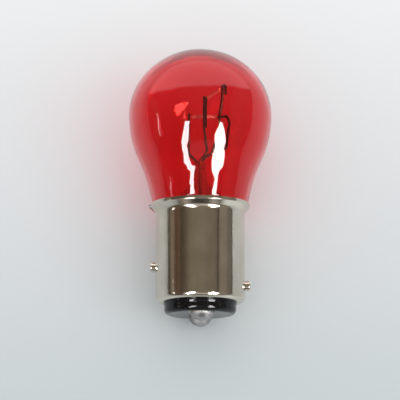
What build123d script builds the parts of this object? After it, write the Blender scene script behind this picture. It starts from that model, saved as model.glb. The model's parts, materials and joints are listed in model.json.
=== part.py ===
from build123d import *
import os
from math import asin, atan2, cos, degrees, hypot, radians, sin, sqrt, tan

# Brake light bulb with two filaments: a red glass globe in a plated bayonet cap, as it lies on a table.
# The lamp's own frame has its origin in the middle of the cap's lower rim, Z along the lamp towards the
# crown of the glass, X through the two bayonet pins and -Y towards the side that lies uppermost.
# All sizes are in millimetres.

# Cap shell: a drawn cup with a rolled lower rim and a collar flared in a wide curve for the neck of glass
shell_radius = 7.55
shell_wall = 0.28
shell_height = 15.25
rim_round = 0.9
rim_width = 1.47
collar_flare = 0.9
collar_rise = 1.1
collar_lip = 0.5
flare_round = 1.1
lip_round = 0.15
groove_clearance = 0.02

# Bayonet pins: riveted through the shell with a shoulder on it, one higher than the other
pin_radius = 0.85
pin_reach = 0.9
pin_round = 0.25
pin_upper_height = 6.07
pin_stagger = 3.17
shank_radius = 0.65
rivet_radius = 1.2
rivet_thickness = 0.35
rivet_clearance = 0.05

# Insulator: a puck of black glass cast into the end of the cap, a little wider where it meets the rim
insulator_drop = 2.0
insulator_round = 0.8
insulator_top = 3.4
bead_swell = 0.1
bead_depth = 0.25
bead_taper_depth = 0.3
bead_round = 0.15

# Contacts: an eyelet in the insulator with a dome of solder on it, one for each filament
contact_spacing = 6.8
eyelet_flange_radius = 1.95
eyelet_flange = 0.25
eyelet_barrel_radius = 0.75
eyelet_bore_radius = 0.45
eyelet_stand = 0.3
solder_radii = {"brake": 1.95, "tail": 1.85}
solder_heights = {"brake": 1.6, "tail": 1.5}
solder_root = 0.5
lead_seat = 0.9
contact_sides = {"brake": 1, "tail": -1}

# Glass globe: blown from tube, a little flattened at the crown, drawn in to a neck
globe_radius = 12.25
shoulder_tuck = 1.25
crown_lift = 0.5
glass_wall = 0.6
under_globe_radius = 18.45
under_globe_turn = 24.9
neck_taper = 12.2
neck_cone_rise = 1.75
neck_mouth_gap = 0.04
neck_clearance = 0.64
neck_shoulder_drop = 1.6
shoulder_round = 1.2

# Glass stem: a flared tube sealed into the neck, pinched flat over the leads, with an exhaust tube
seal_clearance = 2.3
stem_radius = 3.7
stem_wall = 0.6
stem_skirt_rise = 2.7
stem_skirt_round = 1.2
stem_tube_rise = 8.0
pinch_neck = 2.1
pinch_length = 3.1
pinch_thickness = 2.2
pinch_width = 7.4
pinch_round = 0.9
pinch_edge_round = 0.5
exhaust_radius = 1.0
exhaust_bore_radius = 0.6
exhaust_clearance = 1.2
exhaust_tip = 0.9
exhaust_offset = 0.9
blow_hole_rise = 0.8

# Leads and support: nickel-plated wires whose ends are folded or hooked over the filaments' legs
lead_radius = 0.24
lead_bend = 0.8
hook_bend = 0.5
fold_gap = 0.56
fold_bend = 0.27
fold_tip = 0.53
fold_length = 1.6
tail_fold_length = 5.2
pinch_clear = 0.7
spread_rise = 2.4
brake_lead_depth = 2.6
tail_lead_depth = -0.9
common_lead_depth = -2.6
common_spread = 4.4
hook_bow = 4.95
hook_turn = 4.6
hook_drop = 1.3
support_root = 0.7
support_spread = 2.1
support_offset = 3.4
support_step = 0.7
side_lead_gap = 0.1
lead_loop_clearance = 0.73
tail_loop_step = 1.0

# Filaments: coiled tungsten wire between two clamps
light_centre_drop = 0.1
brake_clamp_left = -1.95
brake_clamp_right = 3.15
brake_turns = 11
brake_coil_radius = 0.35
brake_wire_radius = 0.08
tail_low_side = 0.62
tail_low_depth = -2.0
tail_low_rise = 2.5
tail_high_side = 3.85
tail_high_depth = -0.8
tail_high_rise = 4.9
tail_turns = 11
tail_coil_radius = 0.26
tail_wire_radius = 0.065
filament_leg = 0.55
leg_stub = 0.1
leg_swell = 0.01

# Cement and side solder
cement_drop = 0.15
side_solder_radius = 0.35
side_solder_drop = 0.3

# Heights and radii of the cap that follow from those above
shell_inner_radius = shell_radius - shell_wall
collar_radius = shell_radius + collar_flare
collar_top = shell_height + collar_rise + collar_lip
flare_slope = atan2(collar_flare, collar_rise)
insulator_radius = shell_radius - rim_width
contact_offset = contact_spacing / 2
pin_heights = {"pin_upper": pin_upper_height, "pin_lower": pin_upper_height - pin_stagger}
pin_sides = {"pin_upper": -1, "pin_lower": 1}

# The glass stands in the collar: its neck closes to the collar's width, and the sweep between the cone
# above the collar and the round under the globe has the radius that joins both.
turn = radians(under_globe_turn)
taper = radians(neck_taper)
neck_radius = shell_inner_radius - neck_clearance
neck_mouth_radius = collar_radius - shell_wall - neck_mouth_gap
neck_top_radius = neck_mouth_radius + neck_cone_rise * tan(taper)
neck_top_height = collar_top + neck_cone_rise
under_centre_radius = globe_radius - under_globe_radius
sweep_start_radius = under_centre_radius + under_globe_radius * cos(turn)
neck_sweep_radius = (sweep_start_radius - neck_top_radius) / (cos(taper) - cos(turn))
sweep_centre_radius = neck_top_radius + neck_sweep_radius * cos(taper)
sweep_centre_height = neck_top_height - neck_sweep_radius * sin(taper)
globe_height = sweep_centre_height + (neck_sweep_radius + under_globe_radius) * sin(turn)
neck_shoulder_height = collar_top - neck_shoulder_drop

# The crown is an arc about the lamp's axis, and the shoulder arc touches both it and the globe's widest ring
shoulder_radius = globe_radius - shoulder_tuck
crown_rise = shoulder_radius + crown_lift
crown_radius = (shoulder_tuck**2 + crown_rise**2 - shoulder_radius**2) / (2 * crown_lift)
crown_centre = globe_height + crown_rise - crown_radius
crown_turn = degrees(atan2(shoulder_tuck, globe_height - crown_centre))

# Inside, the leads pass over the upper rivet and under the foot of the glass, and the stem stands on that
lead_loop_height = pin_upper_height + rivet_radius + lead_radius + lead_loop_clearance
seal_height = lead_loop_height + seal_clearance
stem_skirt_height = seal_height + stem_skirt_rise
stem_tube_top = seal_height + stem_tube_rise
pinch_foot = stem_tube_top + pinch_neck
pinch_top = pinch_foot + pinch_length
exhaust_foot = insulator_top + exhaust_clearance
blow_hole_height = stem_tube_top + blow_hole_rise
light_centre_height = globe_height - light_centre_drop
tail_clamp_low = (tail_low_side, tail_low_depth, light_centre_height + tail_low_rise)
tail_clamp_high = (tail_high_side, tail_high_depth, light_centre_height + tail_high_rise)

# Rest: the lamp lies on the round of the lower rim and on the underside of the globe, so its axis
# slopes by the angle at which both rounds reach equally far down.
reach_r = under_centre_radius - (shell_radius - rim_round)
reach_z = globe_height - rim_round
rest_slope = atan2(reach_r, reach_z) + asin((under_globe_radius - rim_round) / hypot(reach_r, reach_z))
axis_rise = (shell_radius - rim_round) * cos(rest_slope) - rim_round * sin(rest_slope) + rim_round

# The lamp's ends along the table: the crown of the glass, and the dome of the upper contact
crown_reach = crown_centre * cos(rest_slope) + crown_radius


def dome_radius(name):
    """Radius of the ball that a contact's dome is a cap of."""
    return (solder_radii[name] ** 2 + solder_heights[name] ** 2) / (2 * solder_heights[name])


dome_centre = dome_radius("tail") - solder_heights["tail"] - insulator_drop
contact_reach = dome_centre * cos(rest_slope) - contact_offset * sin(rest_slope) - dome_radius("tail")
lamp = Plane(
    origin=(0, -(crown_reach + contact_reach) / 2, axis_rise),
    x_dir=(1, 0, 0),
    z_dir=(0, cos(rest_slope), sin(rest_slope)),
)
section = Plane(origin=lamp.origin, x_dir=lamp.x_dir, z_dir=-lamp.y_dir)
lamp_axis = Axis(lamp.origin, lamp.z_dir)

os.makedirs("parts", exist_ok=True)


def in_lamp(x, y, z):
    """Place of a point that is given in the lamp's own frame."""
    return lamp.from_local_coords(Vector(x, y, z))


def wire(points, bends, radius, mode=Mode.ADD):
    """Sweep a round wire along straight runs that are joined by bends."""
    with BuildLine() as route:
        FilletPolyline(*[in_lamp(*point) for point in points], radius=bends)
    with BuildSketch(Plane(origin=route.line @ 0, z_dir=route.line % 0)) as profile:
        Circle(radius)
    sweep(profile.sketch, path=route.line, mode=mode)


def rod(start, end, radius):
    """A straight round rod from one point to another."""
    run = end - start
    with BuildSketch(Plane(origin=start, z_dir=run)) as profile:
        Circle(radius)
    extrude(profile.sketch, amount=run.length)


def glass_outline(inset):
    """Half outline of the globe and its neck down to the collar, drawn inside the outer glass."""
    CenterArc((0, crown_centre), crown_radius - inset, 90, -crown_turn)
    CenterArc((shoulder_tuck, globe_height), shoulder_radius - inset, 90 - crown_turn, crown_turn - 90)
    CenterArc(
        (under_centre_radius, globe_height), under_globe_radius - inset, -under_globe_turn, under_globe_turn
    )
    CenterArc(
        (sweep_centre_radius, sweep_centre_height),
        neck_sweep_radius + inset,
        180 - under_globe_turn,
        under_globe_turn - neck_taper,
    )


def glass_face(inset, foot, mode=Mode.ADD):
    """Closed half section of the glass, from its crown to a foot inside the cap."""
    top_radius = sweep_centre_radius - (neck_sweep_radius + inset) * cos(taper)
    top_height = sweep_centre_height + (neck_sweep_radius + inset) * sin(taper)
    with BuildLine() as outline:
        glass_outline(inset)
        FilletPolyline(
            (top_radius, top_height),
            (neck_mouth_radius - inset * cos(taper), collar_top),
            (neck_radius - inset, neck_shoulder_height),
            (neck_radius - inset, foot),
            radius=(shoulder_round, shoulder_round),
        )
        Line((neck_radius - inset, foot), (0, foot))
        Line((0, foot), (0, globe_height + crown_rise - inset))
    make_face(outline.edges(), mode=mode)


def shell_line(inset):
    """Half outline of the cap's sheet metal, from the mouth in its lower end to the lip of its collar."""
    corner_lift = inset * tan(flare_slope / 2)
    FilletPolyline(
        (insulator_radius, inset),
        (shell_radius - inset, inset),
        (shell_radius - inset, shell_height + corner_lift),
        (collar_radius - inset, shell_height + collar_rise + corner_lift),
        (collar_radius - inset, collar_top),
        radius=(rim_round - inset, flare_round + inset, max(lip_round - inset, 0)),
    )


def coil(clamp_a, clamp_b, turns, coil_radius, wire_radius):
    """A coiled filament between two clamps, with a straight leg through each clamp."""
    run = clamp_b - clamp_a
    length = run.length - 2 * filament_leg
    start = clamp_a + run.normalized() * filament_leg
    with BuildLine() as winding:
        Helix(length / turns, length, coil_radius, center=start, direction=run)
    with BuildSketch(Plane(origin=winding.line @ 0, z_dir=winding.line % 0)) as profile:
        Circle(wire_radius)
    sweep(profile.sketch, path=winding.line, is_frenet=True)
    for end, clamp in ((winding.line @ 0, clamp_a), (winding.line @ 1, clamp_b)):
        with Locations(end):
            Sphere(wire_radius + leg_swell)
        rod(end, clamp + (clamp - end).normalized() * (lead_radius + leg_stub), wire_radius)


def fold(clamp, across, length):
    """Points of a wire that runs up past a clamp and is folded back down beside it."""
    x, y, z = clamp
    step_x, step_y = across
    top = z + fold_tip
    return [(x, y, top), (x + step_x, y + step_y, top), (x + step_x, y + step_y, top - length)]


# Brake filament: the stouter coil, level across the middle of the globe
with BuildPart() as brake_filament:
    coil(
        in_lamp(brake_clamp_left, 0, light_centre_height),
        in_lamp(brake_clamp_right, 0, light_centre_height),
        brake_turns,
        brake_coil_radius,
        brake_wire_radius,
    )
brake_filament.part.label = "brake_filament"
export_step(brake_filament.part, "parts/brake_filament.step")

# Tail filament: the finer coil, nearer to the crown and to the front
with BuildPart() as tail_filament:
    coil(
        in_lamp(*tail_clamp_low), in_lamp(*tail_clamp_high), tail_turns, tail_coil_radius, tail_wire_radius
    )
tail_filament.part.label = "tail_filament"
export_step(tail_filament.part, "parts/tail_filament.step")

# Brake lead: from its contact up through the pinch to the left end of the brake filament
brake_clamp = (brake_clamp_left, 0, light_centre_height)
brake_route = [
    (0, contact_offset, -insulator_drop - lead_seat),
    (0, contact_offset, insulator_top + eyelet_stand + lead_bend),
    (0, brake_lead_depth, lead_loop_height),
    (0, brake_lead_depth, pinch_top + pinch_clear),
    (brake_clamp_left, brake_lead_depth / 2, pinch_top + spread_rise),
    (brake_clamp_left, 0, light_centre_height - fold_length),
    *fold(brake_clamp, (0, fold_gap), fold_length),
]
with BuildPart() as lead_wire_brake:
    wire(brake_route, [lead_bend] * 5 + [fold_bend] * 2, lead_radius)
    add(brake_filament.part, mode=Mode.SUBTRACT)
lead_wire_brake.part.label = "lead_wire_brake"
export_step(lead_wire_brake.part, "parts/lead_wire_brake.step")

# Tail lead: from the other contact to the lower end of the tail filament, its end folded long
low_x, low_y, low_z = tail_clamp_low
tail_route = [
    (0, -contact_offset, -insulator_drop - lead_seat),
    (0, -contact_offset, insulator_top + eyelet_stand + lead_bend),
    (0, tail_lead_depth, lead_loop_height + tail_loop_step),
    (0, tail_lead_depth, pinch_top + pinch_clear),
    (2 * low_x, low_y / 2, pinch_top + spread_rise),
    (low_x, low_y, low_z - tail_fold_length),
    *fold(tail_clamp_low, (fold_gap / 2, fold_gap), tail_fold_length),
]
with BuildPart() as lead_wire_tail:
    wire(tail_route, [lead_bend] * 5 + [fold_bend] * 2, lead_radius)
    add(tail_filament.part, mode=Mode.SUBTRACT)
lead_wire_tail.part.label = "lead_wire_tail"
export_step(lead_wire_tail.part, "parts/lead_wire_tail.step")

# Common lead: soldered to the collar, it runs down between neck and shell, turns under the stem's skirt
# and rises through the pinch to a hook that holds the right end of the brake filament
side_lead_radius = shell_inner_radius - lead_radius - side_lead_gap
lip_radius = collar_radius - shell_wall / 2
common_route = [
    (-lip_radius, 0, collar_top),
    (-lip_radius, 0, shell_height + collar_rise),
    (-side_lead_radius, 0, shell_height - lead_radius),
    (-side_lead_radius, 0, lead_loop_height),
    (0, common_lead_depth, lead_loop_height),
    (0, common_lead_depth, pinch_top + pinch_clear),
    (common_spread, common_lead_depth, pinch_top + spread_rise),
    (hook_bow, common_lead_depth / 2, light_centre_height - hook_drop),
    (hook_turn, 0, light_centre_height),
    (brake_clamp_right - lead_radius, 0, light_centre_height),
]
common_bends = [hook_bend] + [lead_bend] * 6 + [hook_bend]
with BuildPart() as lead_wire_common:
    wire(common_route, common_bends, lead_radius)
    add(brake_filament.part, mode=Mode.SUBTRACT)
lead_wire_common.part.label = "lead_wire_common"
export_step(lead_wire_common.part, "parts/lead_wire_common.step")

# Support wire: rooted in the pinch, it touches the common lead's hook and holds the tail filament's top
high_x, high_y, high_z = tail_clamp_high
support_pass = 2 * lead_radius + groove_clearance
support_route = [
    (0, exhaust_offset, pinch_foot + support_root),
    (0, exhaust_offset, pinch_top + pinch_clear),
    (support_spread, exhaust_offset, pinch_top + spread_rise),
    (support_offset, support_pass, light_centre_height - hook_drop),
    (support_offset, support_pass, light_centre_height + support_step),
    (high_x, high_y, high_z - support_step),
    *fold(tail_clamp_high, (fold_gap, 0), fold_length),
]
with BuildPart() as support_wire:
    wire(support_route, [lead_bend] * 5 + [fold_bend] * 2, lead_radius)
    add(tail_filament.part, mode=Mode.SUBTRACT)
support_wire.part.label = "support_wire"
export_step(support_wire.part, "parts/support_wire.step")


# Glass bulb: the red envelope, open at the foot of its neck where the stem is sealed in
with BuildPart() as glass_bulb:
    with BuildSketch(section):
        glass_face(0, seal_height)
        glass_face(glass_wall, seal_height, mode=Mode.SUBTRACT)
    revolve(axis=lamp_axis)
glass_bulb.part.label = "glass_bulb"
export_step(glass_bulb.part, "parts/glass_bulb.step")

# Glass stem: skirt and tube in one turn, the pinch pressed flat above, the exhaust tube below
with BuildPart() as glass_stem:
    with BuildSketch(section):
        with BuildLine():
            rim_inner = neck_radius - glass_wall
            FilletPolyline(
                (stem_radius, stem_tube_top),
                (stem_radius, stem_skirt_height),
                (rim_inner, seal_height),
                radius=stem_skirt_round,
            )
            Polyline(
                (rim_inner, seal_height),
                (neck_radius, seal_height),
                (neck_radius, seal_height - stem_wall),
                (rim_inner, seal_height - stem_wall),
            )
            FilletPolyline(
                (rim_inner, seal_height - stem_wall),
                (stem_radius - stem_wall, stem_skirt_height),
                (stem_radius - stem_wall, stem_tube_top),
                radius=stem_skirt_round + stem_wall,
            )
            Line((stem_radius - stem_wall, stem_tube_top), (stem_radius, stem_tube_top))
        make_face()
    revolve(axis=lamp_axis)
    with BuildSketch(lamp.offset(stem_tube_top)):
        Circle(stem_radius)
    with BuildSketch(lamp.offset(pinch_foot)):
        RectangleRounded(pinch_thickness, pinch_width, pinch_round)
    loft()
    with BuildSketch(lamp.offset(pinch_foot)):
        RectangleRounded(pinch_thickness, pinch_width, pinch_round)
    extrude(amount=pinch_top - pinch_foot)
    fillet(glass_stem.edges().group_by(lamp_axis)[-1], pinch_edge_round)
    with BuildSketch(lamp.offset(exhaust_foot)):
        with Locations((0, exhaust_offset)):
            Circle(exhaust_radius)
    extrude(amount=stem_tube_top - exhaust_foot)
    fillet(glass_stem.edges().group_by(lamp_axis)[0], exhaust_radius - exhaust_bore_radius)
    with BuildSketch(lamp.offset(exhaust_foot + exhaust_tip)):
        with Locations((0, exhaust_offset)):
            Circle(exhaust_bore_radius)
    extrude(amount=blow_hole_height - exhaust_foot - exhaust_tip, mode=Mode.SUBTRACT)
    blow_hole = Plane(origin=in_lamp(0, exhaust_offset, blow_hole_height), z_dir=lamp.x_dir)
    with BuildSketch(blow_hole):
        Circle(exhaust_bore_radius)
    extrude(amount=stem_radius, mode=Mode.SUBTRACT)
    for lead in (lead_wire_brake, lead_wire_tail, lead_wire_common, support_wire):
        add(lead.part, mode=Mode.SUBTRACT)
glass_stem.part.label = "glass_stem"
export_step(glass_stem.part, "parts/glass_stem.step")

# Cap shell: sheet metal turned in at the foot and flared at the collar, pierced for the pins, with a
# groove in the collar for the common lead
pin_planes = {
    name: Plane(
        origin=in_lamp(0, 0, pin_heights[name]), x_dir=lamp.z_dir, z_dir=lamp.x_dir * pin_sides[name]
    )
    for name in pin_heights
}
with BuildPart() as cap_shell:
    with BuildSketch(section):
        with BuildLine():
            shell_line(0)
            shell_line(shell_wall)
            Line((insulator_radius, 0), (insulator_radius, shell_wall))
            Line((collar_radius - shell_wall, collar_top), (collar_radius, collar_top))
        make_face()
    revolve(axis=lamp_axis)
    for plane in pin_planes.values():
        with BuildSketch(plane):
            Circle(shank_radius)
        extrude(amount=collar_radius, mode=Mode.SUBTRACT)
    wire(common_route[:3], common_bends[:1], lead_radius + groove_clearance, Mode.SUBTRACT)
cap_shell.part.label = "cap_shell"
export_step(cap_shell.part, "parts/cap_shell.step")

# Bayonet pins: a round-ended stud on the shell, its thinner shank and a flat rivet head behind it
head_face = sqrt(shell_inner_radius**2 - rivet_radius**2) - groove_clearance
for name, plane in pin_planes.items():
    with BuildPart() as bayonet_pin:
        with BuildSketch(plane.offset(head_face - rivet_thickness)):
            Circle(rivet_radius)
        extrude(amount=rivet_thickness)
        with BuildSketch(plane.offset(head_face)):
            Circle(shank_radius)
        extrude(amount=shell_radius - head_face)
        with BuildSketch(plane.offset(shell_radius)):
            Circle(pin_radius)
        extrude(amount=pin_reach)
        outer_end = bayonet_pin.edges().sort_by(Axis(plane.origin, plane.z_dir))[-1]
        fillet(outer_end, pin_round)
    bayonet_pin.part.label = name
    export_step(bayonet_pin.part, f"parts/{name}.step")

# Insulator: cast round the lip of the shell, with room for the lower rivet and a seat for each eyelet
with BuildPart() as insulator:
    with BuildSketch(section):
        with BuildLine():
            FilletPolyline(
                (0, -insulator_drop),
                (insulator_radius, -insulator_drop),
                (insulator_radius, -bead_depth - bead_taper_depth),
                (insulator_radius + bead_swell, -bead_depth),
                (insulator_radius + bead_swell, 0),
                (insulator_radius, 0),
                (insulator_radius, shell_wall),
                (shell_inner_radius, shell_wall),
                (shell_inner_radius, insulator_top),
                (0, insulator_top),
                radius=(insulator_round, bead_round, bead_round, 0, 0, 0, rim_round - shell_wall, 0),
            )
            Line((0, insulator_top), (0, -insulator_drop))
        make_face()
    revolve(axis=lamp_axis)
    for plane in pin_planes.values():
        with BuildSketch(plane.offset(head_face - rivet_thickness - rivet_clearance)):
            Circle(rivet_radius + rivet_clearance)
        extrude(amount=shell_radius, mode=Mode.SUBTRACT)
    seats = [(0, side * contact_offset) for side in contact_sides.values()]
    with BuildSketch(lamp.offset(-insulator_drop)):
        with Locations(*seats):
            Circle(eyelet_flange_radius)
    extrude(amount=eyelet_flange, mode=Mode.SUBTRACT)
    with BuildSketch(lamp.offset(-insulator_drop)):
        with Locations(*seats):
            Circle(eyelet_barrel_radius)
    extrude(amount=insulator_drop + insulator_top, mode=Mode.SUBTRACT)
insulator.part.label = "insulator"
export_step(insulator.part, "parts/insulator.step")

# Contacts: eyelets set flush in the insulator, and on each a dome of solder that grips its lead
for name, side in contact_sides.items():
    seat = Plane(
        origin=in_lamp(0, side * contact_offset, -insulator_drop), x_dir=lamp.x_dir, z_dir=-lamp.y_dir
    )
    seat_axis = Axis(seat.origin, lamp.z_dir)
    barrel_top = insulator_drop + insulator_top + eyelet_stand
    with BuildPart() as contact_eyelet:
        with BuildSketch(seat):
            with BuildLine():
                Polyline(
                    (eyelet_bore_radius, 0),
                    (eyelet_flange_radius, 0),
                    (eyelet_flange_radius, eyelet_flange),
                    (eyelet_barrel_radius, eyelet_flange),
                    (eyelet_barrel_radius, barrel_top),
                    (eyelet_bore_radius, barrel_top),
                    close=True,
                )
            make_face()
        revolve(axis=seat_axis)
    contact_eyelet.part.label = f"contact_eyelet_{name}"
    export_step(contact_eyelet.part, f"parts/contact_eyelet_{name}.step")

    ball = dome_radius(name)
    half_turn = degrees(asin(solder_radii[name] / ball))
    lead = {"brake": lead_wire_brake, "tail": lead_wire_tail}[name]
    with BuildPart() as solder_contact:
        with BuildSketch(seat):
            with BuildLine():
                CenterArc((0, ball - solder_heights[name]), ball, -90, half_turn)
                Polyline(
                    (solder_radii[name], 0),
                    (eyelet_bore_radius, 0),
                    (eyelet_bore_radius, solder_root),
                    (0, solder_root),
                    (0, -solder_heights[name]),
                )
            make_face()
        revolve(axis=seat_axis)
        add(lead.part, mode=Mode.SUBTRACT)
    solder_contact.part.label = f"solder_contact_{name}"
    export_step(solder_contact.part, f"parts/solder_contact_{name}.step")

# Cement: fills the space between the neck of the glass and the shell, round the common lead
with BuildPart() as basing_cement:
    with BuildSketch(section):
        with BuildLine():
            shell_line(shell_wall)
            Polyline(
                (collar_radius - shell_wall, collar_top), (0, collar_top), (0, shell_wall),
                (insulator_radius, shell_wall),
            )
        make_face()
        with Locations((0, (seal_height + collar_top - cement_drop) / 2)):
            Rectangle(2 * collar_radius, collar_top - cement_drop - seal_height, mode=Mode.INTERSECT)
        glass_face(0, seal_height, mode=Mode.SUBTRACT)
    revolve(axis=lamp_axis)
    add(lead_wire_common.part, mode=Mode.SUBTRACT)
basing_cement.part.label = "basing_cement"
export_step(basing_cement.part, "parts/basing_cement.step")

# Side solder: a bead on the lip of the collar, over the end of the common lead
with BuildPart() as solder_side:
    bead_height = collar_top - side_solder_drop
    with BuildSketch(section):
        with BuildLine():
            CenterArc((-collar_radius, bead_height), side_solder_radius, 90, 90)
            Polyline(
                (-collar_radius, bead_height + side_solder_radius),
                (-lip_radius, bead_height + side_solder_radius),
                (-lip_radius, bead_height),
                (-collar_radius - side_solder_radius, bead_height),
            )
        make_face()
    revolve(axis=Axis(in_lamp(0, 0, bead_height), lamp.x_dir))
    with BuildSketch(lamp.offset(shell_height)):
        Circle(collar_radius)
        with Locations((-lip_radius, 0)):
            Circle(lead_radius)
    extrude(amount=2 * (collar_top - shell_height), mode=Mode.SUBTRACT)
solder_side.part.label = "solder_side"
export_step(solder_side.part, "parts/solder_side.step")
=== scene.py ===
# %% [markdown]
# # A red glass brake light bulb
# The bulb lies on a pale table, resting on the rim of its plated cap and on the belly of its globe. The
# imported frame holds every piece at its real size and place, and here each piece gets the finish of the
# real one. Two are made again, as uneven as the real ones: the blown globe with its ripples, and the near
# contact, whose solder set in lumps.

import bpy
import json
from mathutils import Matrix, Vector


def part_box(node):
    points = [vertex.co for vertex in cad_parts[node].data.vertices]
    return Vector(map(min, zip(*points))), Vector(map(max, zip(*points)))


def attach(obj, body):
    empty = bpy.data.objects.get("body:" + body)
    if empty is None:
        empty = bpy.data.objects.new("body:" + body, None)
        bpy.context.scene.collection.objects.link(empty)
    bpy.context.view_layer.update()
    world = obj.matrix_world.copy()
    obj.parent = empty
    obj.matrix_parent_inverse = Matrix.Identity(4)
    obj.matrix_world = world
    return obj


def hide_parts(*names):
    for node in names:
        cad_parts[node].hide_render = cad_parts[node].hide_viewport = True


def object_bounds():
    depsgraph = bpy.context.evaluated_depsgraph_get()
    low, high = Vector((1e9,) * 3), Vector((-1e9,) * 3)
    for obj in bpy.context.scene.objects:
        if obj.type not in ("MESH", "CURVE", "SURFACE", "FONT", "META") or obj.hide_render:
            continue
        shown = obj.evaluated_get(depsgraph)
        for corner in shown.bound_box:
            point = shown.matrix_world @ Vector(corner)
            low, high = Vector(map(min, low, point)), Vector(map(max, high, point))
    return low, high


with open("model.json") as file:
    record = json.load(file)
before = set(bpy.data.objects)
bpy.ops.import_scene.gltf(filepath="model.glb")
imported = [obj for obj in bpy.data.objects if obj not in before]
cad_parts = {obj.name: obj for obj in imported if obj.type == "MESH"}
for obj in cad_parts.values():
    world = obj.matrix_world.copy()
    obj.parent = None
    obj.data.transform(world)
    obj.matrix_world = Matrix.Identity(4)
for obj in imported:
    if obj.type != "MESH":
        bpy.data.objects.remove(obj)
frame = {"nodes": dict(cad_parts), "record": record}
cad_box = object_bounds()
print("pieces in the frame:", len(frame["nodes"]))

# %% [markdown]
# ## The lamp's own directions
# The bulb lies aslant, so its sizes are easiest to give along its own axis. The record's mount for the
# cap sits in the middle of the lower rim and points out of the cap, which is all that is needed: height
# runs from there to the crown, side runs through the bayonet pins, and back points down to the table.
# A matrix built from these three turns lamp millimetres into places on the table.

# %% Directions of the lamp
from math import asin, atan2, cos, degrees, exp, hypot, pi, radians, sin, sqrt, tan

import bpy
from mathutils import Matrix, Vector, noise

MM = 0.001
cap_mount = next(m for m in frame["record"]["mounts"] if m["name"] == "bayonet_cap")
lamp_up = -Vector(cap_mount["axis"]).normalized()
lamp_side = Vector((1, 0, 0))
lamp_back = lamp_up.cross(lamp_side)
lamp = Matrix((lamp_side, lamp_back, lamp_up)).transposed().to_4x4()
lamp.translation = Vector(cap_mount["pos_m"])
print("the lamp's axis rises by", round(degrees(asin(lamp_up.z)), 2), "degrees")

# %% [markdown]
# ## Camera
# The photograph looks down on the lying bulb from about seventy degrees above the table, from the side
# of its contacts. The cap's pins, rim and contacts fix that angle, and a long lens from 300 mm away gives
# the same slight difference in scale between globe and cap.

# %% Camera
camera_distance = 300 * MM
camera_rise = radians(69.75)
camera_lens = 158.4
camera_nearest = 10 * MM
aim_height = 17.7 * MM
aim_side = -0.035 * MM

camera_data = bpy.data.cameras.new("photo_camera")
camera_data.lens = camera_lens
camera_data.clip_start = camera_nearest
camera = bpy.data.objects.new("photo_camera", camera_data)
bpy.context.collection.objects.link(camera)
to_camera = Vector((0, -cos(camera_rise), sin(camera_rise)))
camera.location = lamp @ Vector((aim_side, 0, aim_height)) + to_camera * camera_distance
camera.rotation_euler = (-to_camera).to_track_quat("-Z", "Y").to_euler()
bpy.context.scene.camera = camera
bpy.context.scene.view_settings.view_transform = "Standard"
print("camera at", [round(v, 4) for v in camera.location])

# %% [markdown]
# ## Finishes built from nodes
# Apart from the bright panels, every finish below starts from one Principled shader. What is the same all
# over a surface, such as how metallic it is or how much it bends light, is set on the shader's own
# sockets. What varies over it, such as colour, roughness and relief, is worked out by further nodes and
# fed in. Each node takes several lines of bpy, so a few small helpers keep the finishes short to read.

# %% Starting and feeding a finish
def start_finish(name, sockets):
    """A new material with constants on its shader's sockets, in a small kit with its nodes."""
    material = bpy.data.materials.new(name)
    material.use_nodes = True
    shader = material.node_tree.nodes["Principled BSDF"]
    for socket, value in sockets.items():
        shader.inputs[socket].default_value = value
    return {"material": material, "tree": material.node_tree, "shader": shader}


def add_node(kit, kind, inputs=None, **settings):
    """A node with its settings, and with each input either set to a value or fed by a socket."""
    node = kit["tree"].nodes.new(kind)
    for setting, value in settings.items():
        setattr(node, setting, value)
    for socket, value in (inputs or {}).items():
        if isinstance(value, bpy.types.NodeSocket):
            kit["tree"].links.new(value, node.inputs[socket])
        else:
            node.inputs[socket].default_value = value
    return node


def feed(kit, **sockets):
    """Feeds the shader's sockets, whose names are given with underscores for spaces."""
    for socket, source in sockets.items():
        kit["tree"].links.new(source, kit["shader"].inputs[socket.replace("_", " ")])


def finished(kit):
    print(kit["material"].name, "is worked out by", len(kit["tree"].nodes), "nodes")
    return kit["material"]


# %% [markdown]
# ## Patterns of a true size
# Draw marks, pits and dust come from noise. The pieces lie aslant, so the place on a surface is first
# turned into the lamp's own millimetres. There a speck has its true size, and a pattern squeezed along
# the lamp's axis runs along the cap or the wires. The same noise can raise a fine relief.

# %% Place, noise and relief
def lamp_millimetres(kit, stretch=(1, 1, 1)):
    """Place on the surface in the lamp's millimetres, squeezed along an axis to stretch a pattern."""
    place = add_node(kit, "ShaderNodeTexCoord").outputs["Object"]
    settle = add_node(kit, "ShaderNodeMapping", {"Vector": place}, vector_type="TEXTURE")
    settle.inputs["Location"].default_value = lamp.translation
    settle.inputs["Rotation"].default_value = lamp.to_euler()
    settle.inputs["Scale"].default_value = (MM, MM, MM)
    squeeze = add_node(kit, "ShaderNodeMapping", {"Vector": settle.outputs[0], "Scale": stretch})
    return squeeze.outputs[0]


def speckle(kit, place, waves, detail=2.0):
    """Soft noise from 0 to 1, with this many waves to each unit of the place."""
    inputs = {"Vector": place, "Scale": waves, "Detail": detail}
    return add_node(kit, "ShaderNodeTexNoise", inputs).outputs["Fac"]


def relief(kit, height, depth_mm, before=None):
    """Fine relief of this depth from a height between 0 and 1, laid over an earlier relief."""
    inputs = {"Height": height, "Distance": depth_mm * MM, "Strength": 1.0}
    if before is not None:
        inputs["Normal"] = before
    return add_node(kit, "ShaderNodeBump", inputs).outputs["Normal"]


# %% [markdown]
# ## From a pattern to a colour
# Noise seldom leaves the middle of its range, so that middle part is spread over the colours or the
# roughness that a finish needs. The same step, with other ends, says where a sheath or a band begins.

# %% Ranges, mixes and sums
def part_of(kit, place, axis):
    """One coordinate of a place or direction."""
    return add_node(kit, "ShaderNodeSeparateXYZ", {"Vector": place}).outputs[axis]


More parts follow.
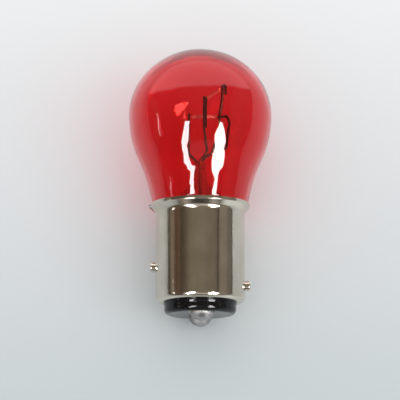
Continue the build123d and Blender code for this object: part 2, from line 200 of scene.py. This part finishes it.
def between(kit, factor, low, high, low_at=0.3, high_at=0.7):
    """A value that runs from low to high as the factor runs from low_at to high_at."""
    inputs = {"Value": factor, "From Min": low_at, "From Max": high_at, "To Min": low, "To Max": high}
    return add_node(kit, "ShaderNodeMapRange", inputs).outputs[0]


def step_to(kit, factor, first, second):
    """Mixes two colours, each given as a value or a socket, by a factor."""
    mixer = add_node(kit, "ShaderNodeMix", data_type="RGBA")
    for socket, source in (("Factor", factor), ("A", first), ("B", second)):
        if isinstance(source, tuple):
            mixer.inputs[socket].default_value = (*source, 1)
        else:
            kit["tree"].links.new(source, mixer.inputs[socket])
    return mixer.outputs["Result"]


def reckon(kit, operation, first, second=0.0):
    """One step of arithmetic on values or sockets."""
    return add_node(kit, "ShaderNodeMath", {0: first, 1: second}, operation=operation).outputs[0]


# %% [markdown]
# ## Table
# The table is a smooth, pale sheet with a soft sheen. Light and shade of the room are painted into its
# colour: it is a little cooler and darker near the camera than beyond the globe, and dimmer far out on the
# left. A wide disc of one material is enough: the painted colour carries the change in light and shade, so
# no lamp has to be turned up for it.

# %% Finish of the table
# Painted light and shade: darker near the camera, lighter beyond the globe, dimmer far out on the left
table_near_shaded, table_far_lit = (0.53, 0.585, 0.60), (0.80, 0.825, 0.835)
near_edge, far_edge = -45 * MM, 40 * MM
painted_shade_side, painted_light_side, painted_shade_share = -160 * MM, -60 * MM, 0.72
table_sheen, table_gloss, table_rough = 0.2, 0.34, 0.44
table_waves, table_detail = 14.0, 1.0

kit = start_finish("pale_table", {"Specular IOR Level": table_sheen})
place = add_node(kit, "ShaderNodeTexCoord").outputs["Object"]
# Painted light and shade along the table, from the darker near side to the lit far side
painted_light_tone = between(kit, part_of(kit, place, "Y"), 0, 1, near_edge, far_edge)
painted_light_and_shade = step_to(kit, painted_light_tone, table_near_shaded, table_far_lit)
# Painted shade that dims the table's colour far out on the left
share = between(kit, part_of(kit, place, "X"), painted_shade_share, 1, painted_shade_side, painted_light_side)
painted_shade_left = add_node(kit, "ShaderNodeHueSaturation", {"Color": painted_light_and_shade, "Value": share})
clouds = speckle(kit, place, table_waves, table_detail)
feed(kit, Base_Color=painted_shade_left.outputs["Color"], Roughness=between(kit, clouds, table_gloss, table_rough))
pale_table = finished(kit)

# %% Table
table_radius, table_corners = 1.6, 96
turns = [2 * pi * i / table_corners for i in range(table_corners)]
ring = [(table_radius * cos(turn), table_radius * sin(turn), 0) for turn in turns]
table_mesh = bpy.data.meshes.new("table")
table_mesh.from_pydata(ring, [], [list(range(table_corners))])
table_mesh.materials.append(pale_table)
table = bpy.data.objects.new("table", table_mesh)
bpy.context.collection.objects.link(table)
print("table of", 2 * table_radius, "m")

# %% [markdown]
# ## Bright panels
# Two long bright panels hang behind the camera, one on each side. They make the twin streaks on the glass
# and the bright spots on the metal. A panel mirrored in the round of the globe keeps its own outline, so
# each is a flat sheet with the outline that the streaks ask for, given in heights of the panel over the
# table: a point near the zenith that widens outwards. The panels would also throw a red shadow of the
# globe, so plain surfaces don't see them. They are far brighter than a streak can show, which tells only
# inside the globe: mirrored by its far wall and seen through red glass, the right one is orange and the
# left one faint.

# %% Finish of the panels
panel_glow = 29.0
panel_white = (1.0, 1.0, 1.0)
inner_tints = {"panel_left": (0.12, 0.12, 0.12), "panel_right": (1.0, 4.0, 2.4)}


def panel_finish(name):
    """A plain glow, with another tint where it is seen through glass, in the mirror of the far wall."""
    kit = {"material": bpy.data.materials.new(name)}
    kit["material"].use_nodes = True
    kit["tree"] = kit["material"].node_tree
    kit["tree"].nodes.clear()
    depth = add_node(kit, "ShaderNodeLightPath").outputs["Transmission Depth"]
    colour = step_to(kit, between(kit, depth, 0, 1, 0, 1), panel_white, inner_tints[name])
    shine = add_node(kit, "ShaderNodeEmission", {"Color": colour, "Strength": panel_glow})
    add_node(kit, "ShaderNodeOutputMaterial", {"Surface": shine.outputs[0]})
    return finished(kit)


# %% Bright panels
panel_height = 0.6
panel_outlines = {
    "panel_left": [(-0.23, -0.38), (-0.43, -0.33), (-0.55, -0.58), (-0.79, -0.92), (-0.96, -1.40),
                   (-0.72, -1.40), (-0.50, -0.95), (-0.29, -0.60)],
    "panel_right": [(0.56, -0.33), (0.66, -0.31), (0.97, -0.62), (1.28, -0.95), (1.52, -1.45),
                    (0.62, -1.45), (0.60, -0.80)],
}
for name, outline in panel_outlines.items():
    sheet = bpy.data.meshes.new(name)
    corners = [(x * panel_height, y * panel_height, panel_height) for x, y in outline]
    sheet.from_pydata(corners, [], [list(range(len(corners)))])
    sheet.materials.append(panel_finish(name))
    panel = bpy.data.objects.new(name, sheet)
    panel.visible_diffuse = False
    bpy.context.collection.objects.link(panel)
    print(name, "has", len(outline), "corners")

# %% [markdown]
# ## Thin lamp and soft lamp
# Far off on the left hangs a thin lamp for the row of slivers down the side of the glass. Plain surfaces
# don't see it. A large soft lamp, which neither gloss nor clear glass shows, gives the faint shadow that
# falls to the left. Both are area lamps that face the bulb, with sizes and places in metres.

# %% Thin lamp and soft lamp
def hang_lamp(name, width, length, glow, place):
    """A flat lamp of this glow that faces the bulb, with its length along the bulb's."""
    data = bpy.data.lights.new(name, "AREA")
    data.shape = "RECTANGLE"
    data.size, data.size_y = width, length
    data.energy = glow * pi * width * length
    body = bpy.data.objects.new(name, data)
    body.location = place
    away = Vector(place).normalized()
    side = Vector((0, 1, 0)).cross(away).normalized()
    body.rotation_euler = Matrix((side, away.cross(side), away)).transposed().to_euler()
    bpy.context.collection.objects.link(body)
    print(name, "of", width, "by", length, "m")
    return body


thin_lamp = hang_lamp("thin_lamp", width=0.030, length=0.34, glow=8.0, place=(-0.96, -0.125, 0.30))
thin_lamp.visible_diffuse = False
soft_lamp = hang_lamp("soft_lamp", width=0.8, length=0.8, glow=1.7, place=(0.75, -0.35, 0.9))
soft_lamp.visible_glossy = False
soft_lamp.visible_transmission = False

# %% [markdown]
# ## Surroundings
# Plated metal shows whatever lies around it, so the surroundings matter as much as the lamps. Overhead,
# lighter and darker bands run along the lamp. Beyond the globe it is bright, at the near side a pale
# patch stands over a dark one, and the horizon is dim. The world's colour is worked out from the
# direction in which a ray leaves. A band lies at its lean to the right or to the far side, from -1 to 1.

# %% Bands of the surroundings
overhead_bands = [
    (-1.00, (0.06, 0.05, 0.04)),
    (-0.984, (0.07, 0.05, 0.04)),
    (-0.975, (0.27, 0.21, 0.16)),
    (-0.93, (0.22, 0.16, 0.12)),
    (-0.91, (0.12, 0.065, 0.045)),
    (-0.85, (0.14, 0.08, 0.055)),
    (-0.82, (0.17, 0.12, 0.09)),
    (-0.78, (0.09, 0.065, 0.045)),
    (-0.66, (0.11, 0.085, 0.06)),
    (-0.42, (0.22, 0.18, 0.135)),
    (0.10, (0.26, 0.22, 0.17)),
    (0.60, (0.20, 0.165, 0.13)),
    (0.69, (0.17, 0.14, 0.11)),
    (0.71, (0.06, 0.045, 0.05)),
    (0.74, (0.07, 0.05, 0.05)),
    (0.76, (0.27, 0.23, 0.18)),
    (0.92, (0.29, 0.25, 0.20)),
    (0.955, (0.21, 0.185, 0.16)),
    (1.00, (0.20, 0.18, 0.16)),
]
near_bands = [
    (-1.00, (0.035, 0.025, 0.025)),
    (-0.95, (0.035, 0.025, 0.025)),
    (-0.92, (0.55, 0.50, 0.47)),
    (-0.66, (0.62, 0.57, 0.54)),
    (-0.58, (0.22, 0.19, 0.16)),
]
near_half_width, near_fade_width = 0.36, 0.55
near_full, near_end = -0.64, -0.50
horizon_glow, horizon_from, horizon_to = (0.10, 0.09, 0.08), 0.02, 0.10
far_glow, far_from, far_to, far_slant = (1.55, 1.52, 1.52), 0.475, 0.535, 0.06
plain_light = (0.93, 0.93, 0.93)
print(len(overhead_bands), "bands overhead and", len(near_bands), "at the near side")

# %% [markdown]
# ## World
# Two colour ramps hold the bands, and steps lay the near side, the horizon and the far side over them, in
# that order. Plain surfaces, which gather light from everywhere, get an even and pale light instead, so
# that the table keeps the colour it is given.

# %% World
def ramp(kit, factor, stops, low, high):
    """Colours along a factor that runs from low to high."""
    node = add_node(kit, "ShaderNodeValToRGB", {"Fac": between(kit, factor, 0, 1, low, high)})
    band = node.color_ramp
    ready = len(band.elements)
    for index, (at, colour) in enumerate(stops):
        share = (at - low) / (high - low)
        stop = band.elements[index] if index < ready else band.elements.new(share)
        stop.position = share
        stop.color = (*colour, 1)
    return node.outputs["Color"]


world = bpy.data.worlds.new("surroundings")
world.use_nodes = True
bpy.context.scene.world = world
kit = {"tree": world.node_tree}
direction = add_node(kit, "ShaderNodeTexCoord").outputs["Generated"]
right, far, rise = (part_of(kit, direction, axis) for axis in "XYZ")
overhead = ramp(kit, right, overhead_bands, -1, 1)
near = ramp(kit, far, near_bands, -1, 0)
narrow = between(kit, reckon(kit, "ABSOLUTE", right), 1, 0, near_half_width, near_fade_width)
nearby = reckon(kit, "MULTIPLY", narrow, between(kit, far, 1, 0, near_full, near_end))
glow = step_to(kit, nearby, overhead, near)
glow = step_to(kit, between(kit, rise, 0, 1, horizon_from, horizon_to), horizon_glow, glow)
slanted = reckon(kit, "SUBTRACT", far, reckon(kit, "MULTIPLY", right, far_slant))
glow = step_to(kit, between(kit, slanted, 0, 1, far_from, far_to), glow, far_glow)
ray = add_node(kit, "ShaderNodeLightPath").outputs
glow = step_to(kit, ray["Is Diffuse Ray"], glow, plain_light)
world.node_tree.links.new(glow, world.node_tree.nodes["Background"].inputs["Color"])
print("surroundings made of", len(world.node_tree.nodes), "nodes")

# %% [markdown]
# ## Lamplight through glass
# Light that only falls through glass, onto the wires or the table, would be bent at each face, and bent
# light takes long to gather. So shadow and diffuse rays pass straight, with the wall's tint. A wall has
# two faces, and each takes the root of the tint. What the camera sees through the glass is still bent, but
# for a share of it where the glass is thin.

# %% Lamplight through glass
def let_lamps_through(kit, wall_tint, thin_share=0.0):
    """Shadow and diffuse rays pass straight with the wall's tint, and so does a share of the others."""
    face_tint = tuple(sqrt(v) for v in wall_tint)
    clear = add_node(kit, "ShaderNodeBsdfTransparent", {"Color": (*face_tint, 1)})
    path = add_node(kit, "ShaderNodeLightPath").outputs
    plain = reckon(kit, "MAXIMUM", path["Is Shadow Ray"], path["Is Diffuse Ray"])
    plain = reckon(kit, "MAXIMUM", plain, thin_share)
    mixer = add_node(kit, "ShaderNodeMixShader", {0: plain})
    links = kit["tree"].links
    links.new(kit["shader"].outputs[0], mixer.inputs[1])
    links.new(clear.outputs[0], mixer.inputs[2])
    links.new(mixer.outputs[0], kit["tree"].nodes["Material Output"].inputs["Surface"])


# %% [markdown]
# ## Red glass
# The envelope is glass coloured red all through, 0.6 mm thick. Light is tinted each time it passes a wall,
# and twice for the table seen through the globe. The shader bends light nearly as much as real glass
# does, which gives the pale grey rim of the globe by itself. Where the crown is seen edge-on, its colour
# is
# painted almost black: partly the deep red of the long path through the glass, partly painted shade of the
# table under the globe that the edge shows. This draws the thin dark line round the far end.

# %% Red glass
glass_bend = 1.42
red_wall, red_cast = (0.88, 0.145, 0.165), (0.96, 0.42, 0.44)
red_waves, red_detail, red_cloud_share = 0.12, 1.0, 0.94
# Painted shade at the crown seen edge-on, partly the deep red of the long path through the glass
crown_painted_shade_and_depth, crown_from, crown_to = (0.06, 0.015, 0.015), 39.0, 42.5
edge_blend, edge_from, edge_to = 0.5, 0.64, 0.70
red_haze_waves, red_haze = 0.5, 0.03
blown_waves, blown_detail, blown_stretch, blown_depth = 0.35, 1.0, (1, 1, 0.6), 0.02

kit = start_finish("red_glass", {"Transmission Weight": 1.0, "IOR": glass_bend})
place = lamp_millimetres(kit)
clouds = between(kit, speckle(kit, place, red_waves, red_detail), 0, 1)
tint = step_to(kit, clouds, red_wall, tuple(v * red_cloud_share for v in red_wall))
# Painted shade: where the crown is seen edge-on, its colour darkens towards black, partly for the long
# path through red glass
facing = add_node(kit, "ShaderNodeLayerWeight", {"Blend": edge_blend}).outputs["Facing"]
edge_on = between(kit, facing, 0, 1, edge_from, edge_to)
at_crown = between(kit, part_of(kit, place, "Z"), 0, 1, crown_from, crown_to)
tint = step_to(kit, reckon(kit, "MULTIPLY", edge_on, at_crown), tint, crown_painted_shade_and_depth)
haze = between(kit, speckle(kit, place, red_haze_waves), 0, red_haze)
blown = speckle(kit, lamp_millimetres(kit, blown_stretch), blown_waves, blown_detail)
feed(kit, Base_Color=tint, Roughness=haze, Normal=relief(kit, blown, blown_depth))
let_lamps_through(kit, red_cast)
red_glass = finished(kit)

# %% [markdown]
# ## Clear glass
# The stem that carries the wires is clear glass, drawn and pinched while soft, so it has faint waves along
# the lamp. In the photograph it hardly shows through the red glass, so more than half of the light passes
# it unbent.

# %% Clear glass
clear_wall, clear_wall_green = (0.96, 0.97, 0.96), (0.92, 0.95, 0.93)
stem_thin_share = 0.6
green_waves, stem_haze_waves, stem_haze = 0.3, 0.7, 0.06
drawn_waves, drawn_stretch, drawn_depth = 0.9, (1, 1, 0.15), 0.02

kit = start_finish("clear_glass", {"Transmission Weight": 1.0, "IOR": glass_bend})
place = lamp_millimetres(kit)
tint = step_to(kit, speckle(kit, place, green_waves), clear_wall, clear_wall_green)
haze = between(kit, speckle(kit, place, stem_haze_waves), 0, stem_haze)
drawn = speckle(kit, lamp_millimetres(kit, drawn_stretch), drawn_waves)
feed(kit, Base_Color=tint, Roughness=haze, Normal=relief(kit, drawn, drawn_depth))
let_lamps_through(kit, clear_wall, stem_thin_share)
clear_glass = finished(kit)

# %% [markdown]
# ## Plated brass
# The cap is drawn from brass sheet and plated with nickel, which is a warm grey and not quite a mirror.
# The draw leaves faint marks along the cap, and the plating has a fine orange peel. Noise squeezed along
# the lamp's axis makes the marks, for both the roughness and a relief of a few thousandths of a
# millimetre. Rolling the foot and flaring the collar stretched the plating, so it is duller there.

# %% Plated brass
plate_warm, plate_dull, plate_waves = (0.66, 0.62, 0.54), (0.56, 0.52, 0.44), 0.25
plate_gloss, plate_rough = 0.08, 0.15
mark_waves, mark_detail, mark_stretch, mark_depth = 5.0, 3.0, (1, 1, 0.06), 0.004
peel_waves, peel_depth = 2.2, 0.009
barrel_middle, barrel_reach, worked_fade, worked_rough = 7.9, 7.1, 0.6, 0.04

kit = start_finish("nickel_plate", {"Metallic": 1.0})
place = lamp_millimetres(kit)
marks = speckle(kit, lamp_millimetres(kit, mark_stretch), mark_waves, mark_detail)
peel = speckle(kit, place, peel_waves)
colour = step_to(kit, between(kit, speckle(kit, place, plate_waves), 0, 1), plate_warm, plate_dull)
off_middle = reckon(kit, "ABSOLUTE", reckon(kit, "SUBTRACT", part_of(kit, place, "Z"), barrel_middle))
worked = between(kit, off_middle, 0, worked_rough, barrel_reach, barrel_reach + worked_fade)
roughness = reckon(kit, "ADD", between(kit, marks, plate_gloss, plate_rough), worked)
surface = relief(kit, peel, peel_depth, before=relief(kit, marks, mark_depth))
feed(kit, Base_Color=colour, Roughness=roughness, Normal=surface)
nickel_plate = finished(kit)

# %% [markdown]
# ## Wires
# The leads are nickel-plated iron, dulled where they were heated, and sheathed in copper where the glass
# of the stem is sealed to them. The height along the lamp is enough to tell sheath from bare wire, so the
# sheath needs no mesh of its own. The filaments are tungsten, with a paler finish than the leads. Both
# were drawn and have a fine grain, stretched along the lamp as the leads run.

# %% Wires
sheath_colour, sheath_end, sheath_fade = (0.33, 0.08, 0.05), 24.4, 0.5
patch_waves, patch_detail = 1.1, 3.0
wire_waves, wire_stretch, wire_depth = 12.0, (1, 1, 0.2), 0.003


def wire_finish(name, bright, dull, gloss, rough, sheathed=False):
    """A drawn wire: metal, brighter and duller in patches, with a fine grain."""
    kit = start_finish(name, {"Metallic": 1.0})
    place = lamp_millimetres(kit)
    patches = speckle(kit, place, patch_waves, patch_detail)
    grain = speckle(kit, lamp_millimetres(kit, wire_stretch), wire_waves)
    colour = step_to(kit, between(kit, patches, 0, 1), bright, dull)
    if sheathed:
        bare = between(kit, part_of(kit, place, "Z"), 0, 1, sheath_end - sheath_fade, sheath_end)
        colour = step_to(kit, bare, sheath_colour, colour)
    roughness = between(kit, grain, gloss, rough)
    feed(kit, Base_Color=colour, Roughness=roughness, Normal=relief(kit, grain, wire_depth))
    return finished(kit)


lead_wire = wire_finish(
    "lead_wire", bright=(0.12, 0.10, 0.095), dull=(0.05, 0.04, 0.04), gloss=0.35, rough=0.55, sheathed=True
)
tungsten = wire_finish(
    "tungsten", bright=(0.90, 0.86, 0.80), dull=(0.62, 0.60, 0.56), gloss=0.25, rough=0.40
)

# %% [markdown]
# ## Solder
# The contacts are domes of solder that set from the melt: dull, a little grey and pitted in places. The
# near one has a dent in its upper flank, at a place given in the lamp's millimetres, with shade painted
# into it. The distance from that place sets how dark the painted shade is. The mesh is dented round the
# same place later, so the painted shade and the dent stay together, which a spot painted apart from the
# mesh might not.

# %% Solder
solder_bright, solder_dull, smear_waves = (0.34, 0.34, 0.345), (0.20, 0.195, 0.20), 0.9
solder_gloss, solder_rough = 0.58, 0.75
pit_waves, pit_detail, pit_depth = 2.6, 3.0, 0.03
dent_spot, dent_width = Vector((0.2, -4.75, -3.0)), 0.85
# Painted shade in the dent of the near dome, darkest at its core
dent_painted_shade, dent_shade_core = (0.07, 0.068, 0.06), 0.4

kit = start_finish("solder", {"Metallic": 1.0})
place = lamp_millimetres(kit)
smear = speckle(kit, place, smear_waves)
colour = step_to(kit, between(kit, smear, 0, 1), solder_bright, solder_dull)
# Painted shade that darkens the solder towards the dent
to_dent = add_node(kit, "ShaderNodeVectorMath", {0: place, 1: dent_spot}, operation="DISTANCE")
dent_shade = between(kit, to_dent.outputs["Value"], 0, 1, dent_width, dent_shade_core * dent_width)
colour = step_to(kit, dent_shade, colour, dent_painted_shade)
surface = relief(kit, speckle(kit, place, pit_waves, pit_detail), pit_depth)
feed(kit, Base_Color=colour, Roughness=between(kit, smear, solder_gloss, solder_rough), Normal=surface)
solder = finished(kit)

# %% [markdown]
# ## Black glass
# The insulator is poured black glass: glossy, opaque, with soft waves from the pour and a little dust that
# takes the gloss off in specks. One noise gives the dust its colour and its roughness, so both fall on the
# same specks. The glass mirrors less than its bend would give, as the photograph shows.

# %% Black glass
black_bend, black_mirror = 1.5, 0.25
glass_black, dust_grey = (0.006, 0.006, 0.007), (0.03, 0.03, 0.03)
dust_waves, dust_detail, dust_from, dust_to = 4.0, 4.0, 0.55, 0.8
black_gloss, dust_rough = 0.05, 0.16
pour_waves, pour_depth = 0.6, 0.05

kit = start_finish("black_glass", {"IOR": black_bend, "Specular IOR Level": black_mirror})
place = lamp_millimetres(kit)
dust = speckle(kit, place, dust_waves, dust_detail)
colour = step_to(kit, between(kit, dust, 0, 1, dust_from, dust_to), glass_black, dust_grey)
surface = relief(kit, speckle(kit, place, pour_waves), pour_depth)
feed(kit, Base_Color=colour, Roughness=between(kit, dust, black_gloss, dust_rough), Normal=surface)
black_glass = finished(kit)

# %% [markdown]
# ## Brass and cement
# The eyelets are punched brass, seen only as a thin ring round each dome. The cement between neck and cap
# is a baked, sandy resin, matt and brown. One noise gives each of them its colour, roughness and relief,
# which is enough for pieces that show so little.

# %% Brass and cement
def grainy_finish(name, sockets, waves, detail, light, dark, gloss, rough, depth):
    """A finish whose colour, roughness and relief all follow one grain."""
    kit = start_finish(name, sockets)
    grain = speckle(kit, lamp_millimetres(kit), waves, detail)
    colour = step_to(kit, between(kit, grain, 0, 1), light, dark)
    roughness = between(kit, grain, gloss, rough)
    feed(kit, Base_Color=colour, Roughness=roughness, Normal=relief(kit, grain, depth))
    return finished(kit)


brass = grainy_finish(
    "punched_brass", {"Metallic": 1.0}, waves=5.0, detail=3.0,
    light=(0.74, 0.60, 0.33), dark=(0.55, 0.43, 0.22), gloss=0.25, rough=0.45, depth=0.005,
)
cement = grainy_finish(
    "basing_cement", {"Specular IOR Level": 0.3}, waves=3.0, detail=5.0,
    light=(0.30, 0.24, 0.18), dark=(0.16, 0.12, 0.09), gloss=0.75, rough=0.95, depth=0.06,
)

# %% [markdown]
# ## Finishes on the frame's own pieces
# Most pieces have their true shape in the frame already, so they only take a finish. The record names a
# slot for each node, and each slot has one finish.

# %% Dress the frame's pieces
finishes = {
    "red_glass": red_glass,
    "clear_glass": clear_glass,
    "nickel_plate": nickel_plate,
    "lead_wire": lead_wire,
    "tungsten": tungsten,
    "solder": solder,
    "black_glass": black_glass,
    "brass": brass,
    "cement": cement,
}
slots = {part["node"]: part["material_slot"] for part in frame["record"]["subparts"]}
for node, piece in frame["nodes"].items():
    piece.data.materials.clear()
    piece.data.materials.append(finishes[slots[node]])
print("dressed", len(slots), "pieces")

# %% [markdown]
# ## The blown globe
# The globe is blown from a tube and drawn in to its neck, so its surface is never quite even, and its
# ripples bend the streaks of light. The frame's globe is perfectly smooth. This one is turned from the
# same arcs with many more rings. The arcs follow from a few sizes, all in the lamp's millimetres: the
# crown is a flat cap on a round shoulder, and under the widest ring a slack arc meets the sweep of the
# neck without a kink.

# %% Sizes of the globe
low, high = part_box("glass_bulb")
globe_radius = (high.x - low.x) / 2 / MM
shoulder_tuck, crown_lift = 1.25, 0.5
under_globe_radius, under_globe_turn = 18.45, radians(24.9)
neck_taper, neck_cone_rise, neck_mouth_radius = radians(12.2), 1.75, 8.13
collar_top, neck_shoulder_drop, neck_radius, seal_height = 16.85, 1.6, 6.63, 10.5
glass_wall = 0.6

under_centre_radius = globe_radius - under_globe_radius
sweep_start_radius = under_centre_radius + under_globe_radius * cos(under_globe_turn)
neck_top_radius = neck_mouth_radius + neck_cone_rise * tan(neck_taper)
neck_sweep_radius = (sweep_start_radius - neck_top_radius) / (cos(neck_taper) - cos(under_globe_turn))
sweep_centre_radius = neck_top_radius + neck_sweep_radius * cos(neck_taper)
sweep_centre_height = collar_top + neck_cone_rise - neck_sweep_radius * sin(neck_taper)
globe_height = sweep_centre_height + (neck_sweep_radius + under_globe_radius) * sin(under_globe_turn)
shoulder_radius = globe_radius - shoulder_tuck
crown_rise = shoulder_radius + crown_lift
crown_radius = (shoulder_tuck**2 + crown_rise**2 - shoulder_radius**2) / (2 * crown_lift)
crown_centre = globe_height + crown_rise - crown_radius
crown_turn = atan2(shoulder_tuck, globe_height - crown_centre)
print("globe", round(2 * globe_radius, 2), "mm wide at a height of", round(globe_height, 2), "mm")

# %% [markdown]
# ## Half section of the glass
# One function draws the half section from crown to foot, as pairs of radius and height. Drawn once at no
# inset and once at the wall's thickness, it gives the outer and the inner face of the glass.

# %% Half section of the glass
points_along = {"crown": 8, "globe": 44, "under": 22, "sweep": 18, "cone": 5, "shoulder": 4, "neck": 6}


def spread(start, end, count):
    """Evenly spaced values from start towards end, without the end itself."""
    return [start + (end - start) * i / count for i in range(count)]


def arc(centre, radius, start, end, count):
    """Points of an arc in the half section, as radius and height."""
    return [(centre[0] + radius * cos(a), centre[1] + radius * sin(a)) for a in spread(start, end, count)]


def straight(start, end, count):
    """Points of a straight run in the half section."""
    return list(zip(spread(start[0], end[0], count), spread(start[1], end[1], count)))


def glass_outline(inset):
    """Half section of the glass from its crown to its foot, this far inside the outer face."""
    shoulder_end = pi / 2 - crown_turn
    sweep = neck_sweep_radius + inset
    sweep_centre = (sweep_centre_radius, sweep_centre_height)
    cone_start = (
        sweep_centre_radius - sweep * cos(neck_taper),
        sweep_centre_height + sweep * sin(neck_taper),
    )
    mouth = (neck_mouth_radius - inset * cos(neck_taper), collar_top)
    shoulder = (neck_radius - inset, collar_top - neck_shoulder_drop)
    foot = (neck_radius - inset, seal_height)
    under_centre = (under_centre_radius, globe_height)
    count = points_along
    return [
        *arc((0, crown_centre), crown_radius - inset, pi / 2, shoulder_end, count["crown"]),
        *arc((shoulder_tuck, globe_height), shoulder_radius - inset, shoulder_end, 0, count["globe"]),
        *arc(under_centre, under_globe_radius - inset, 0, -under_globe_turn, count["under"]),
        *arc(sweep_centre, sweep, pi - under_globe_turn, pi - neck_taper, count["sweep"]),
        *straight(cone_start, mouth, count["cone"]),
        *straight(mouth, shoulder, count["shoulder"]),
        *straight(shoulder, foot, count["neck"]),
        foot,
    ]


glass_section = glass_outline(0) + glass_outline(glass_wall)[::-1]
print("half section of the glass has", len(glass_section), "points")

# %% [markdown]
# ## Turning and placing a mesh
# A closed outline is turned about the lamp's axis point by point, so that each point can be shifted by its
# own small amount on the way, which no modifier does as simply. Points that meet on the axis are welded.
# A mesh is made in the lamp's frame and then laid on the table with the lamp's matrix.

# %% Turning and placing a mesh
import bmesh

weld_gap = 0.0005 * MM


def weld(mesh):
    """Joins points that fall together on the axis, faces outwards and shades smoothly."""
    work = bmesh.new()
    work.from_mesh(mesh)
    bmesh.ops.remove_doubles(work, verts=work.verts, dist=weld_gap)
    bmesh.ops.recalc_face_normals(work, faces=work.faces)
    work.to_mesh(mesh)
    work.free()
    for face in mesh.polygons:
        face.use_smooth = True


def turned_mesh(name, outline, steps, shift):
    """A mesh turned from a closed outline. Shift says how far a point moves, from its place and angle."""
    mesh = bpy.data.meshes.new(name)
    points, faces, count = [], [], len(outline)
    for step in range(steps):
        angle = 2 * pi * step / steps
        for radius, height in outline:
            outwards, upwards = shift(radius, height, angle)
            radius, height = radius + outwards, height + upwards
            points.append((radius * cos(angle) * MM, radius * sin(angle) * MM, height * MM))
    for step in range(steps):
        here, there = step * count, (step + 1) % steps * count
        for row in range(count):
            below = (row + 1) % count
            faces.append((here + row, here + below, there + below, there + row))
    mesh.from_pydata(points, [], faces)
    weld(mesh)
    return mesh


def place_piece(name, mesh, finish, node):
    """Lays a mesh given in the lamp's frame on the table, where it stands for a node of the frame."""
    mesh.transform(lamp)
    mesh.materials.append(finish)
    piece = bpy.data.objects.new(name, mesh)
    bpy.context.collection.objects.link(piece)
    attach(piece, "root")
    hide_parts(node)
    print(name, "has", len(mesh.polygons), "faces and stands for", node)


# %% [markdown]
# ## Ripples of the glass
# Three ripples are laid over each other, the finer ones only towards the neck, where the glass was drawn
# in. Each has the size of its cells, its depth, the heights where it starts and where it is full, and how
# far it reaches to the sides, where the glass of the photograph is smooth, all in millimetres. Slow noise
# makes the swells. Near the frame's box the glass may only sink, so it stays inside.

# %% Ripples of the glass
ripples = [
    {"cell": 4.6, "depth": 0.070, "top": 60.0, "full": 50.0, "reach": 30.0},
    {"cell": 1.7, "depth": 0.045, "top": 35.0, "full": 31.0, "reach": 8.0},
    {"cell": 1.0, "depth": 0.024, "top": 27.0, "full": 21.0, "reach": 8.0},
]
ripple_shift = Vector((9, 4, 2))
collar_fade = 1.0
cad_low, cad_high = cad_box


def spare_room(spot):
    """The least distance from a spot to the sides, the far end, the top and the floor of the box."""
    gaps = [cad_high.y - spot.y]
    for axis in ("x", "z"):
        here = getattr(spot, axis)
        gaps += [here - getattr(cad_low, axis), getattr(cad_high, axis) - here]
    return min(gaps)


def globe_ripple(radius, height, angle):
    """How far the blown surface swells or sinks, outwards and upwards, and never out of the box."""
    if height < collar_top:
        return 0, 0
    place = Vector((radius * cos(angle), radius * sin(angle), height))
    swell = 0
    for index, ripple in enumerate(ripples):
        drawn = min(max((ripple["top"] - height) / (ripple["top"] - ripple["full"]), 0), 1)
        inner = max(1 - (place.x / ripple["reach"]) ** 2, 0)
        wave = noise.noise(place / ripple["cell"] + ripple_shift * index)
        swell += drawn * inner * ripple["depth"] * wave
    swell = min(swell, spare_room(lamp @ (place * MM)) / MM)
    swell *= min((height - collar_top) / collar_fade, 1)
    reach = hypot(radius, height - globe_height) or 1
    return swell * radius / reach, swell * (height - globe_height) / reach


globe_steps = 256
globe_mesh = turned_mesh("red_globe", glass_section, globe_steps, globe_ripple)
place_piece("red_globe", globe_mesh, red_glass, "glass_bulb")

# %% [markdown]
# ## Solder that set from the melt
# The near contact isn't a clean dome. Its solder set in lumps, a little to one side and over the edge of
# its eyelet, with a dent in the flank that faces up. A dome of rings is pushed in and out by noise, and
# pressed in round one point for the dent. The far contact is smooth, as in the frame, and only takes the
# solder's finish.

# %% Shape of the near dome
tail_mount = next(m for m in frame["record"]["mounts"] if m["name"] == "tail_contact")
dome_tip = lamp.inverted() @ Vector(tail_mount["pos_m"]) / MM
dome_half_width, dome_half_depth, dome_rise = 2.1, 1.85, 1.46
dome_shift, dome_sink = 0.3, 0.08
dome_foot = Vector((dome_shift, dome_tip.y, dome_tip.z + dome_rise + dome_sink))
dent_depth = 0.45
lump_cell, lump_depth, lump_lean, lump_fade = 0.85, 0.16, 0.3, 1.2


def solder_point(turn, tilt):
    """A point of the lumpy dome, from its turn about the axis and its tilt from the tip."""
    out = Vector((sin(tilt) * cos(turn), sin(tilt) * sin(turn), -cos(tilt)))
    place = dome_foot + out * Vector((dome_half_width, dome_half_depth, dome_rise))
    lump = lump_depth * (noise.noise(place / lump_cell) - lump_lean) * cos(tilt / lump_fade)
    dent = dent_depth * exp(-(((place - dent_spot).length / dent_width) ** 2))
    return place + out * (lump - dent)


print("near dome", 2 * dome_half_width, "mm across, its foot at", [round(v, 2) for v in dome_foot])

# %% Near dome of solder
rings, steps = 18, 56
points, faces = [solder_point(0, 0)], []
for ring_index in range(1, rings + 1):
    tilt = pi / 2 * ring_index / rings
    points += [solder_point(2 * pi * step / steps, tilt) for step in range(steps)]
for step in range(steps):
    after = (step + 1) % steps
    faces.append((0, 1 + step, 1 + after))
    for ring_index in range(rings - 1):
        here, there = 1 + ring_index * steps, 1 + (ring_index + 1) * steps
        faces.append((here + step, there + step, there + after, here + after))
faces.append([1 + (rings - 1) * steps + step for step in range(steps)])
dome_mesh = bpy.data.meshes.new("near_solder")
dome_mesh.from_pydata([point * MM for point in points], [], faces)
weld(dome_mesh)
place_piece("near_solder", dome_mesh, solder, "solder_contact_tail")

# %% Size of the frame's box
import json

print("frame box", [round(v / MM, 3) for v in cad_box[1] - cad_box[0]], "mm")
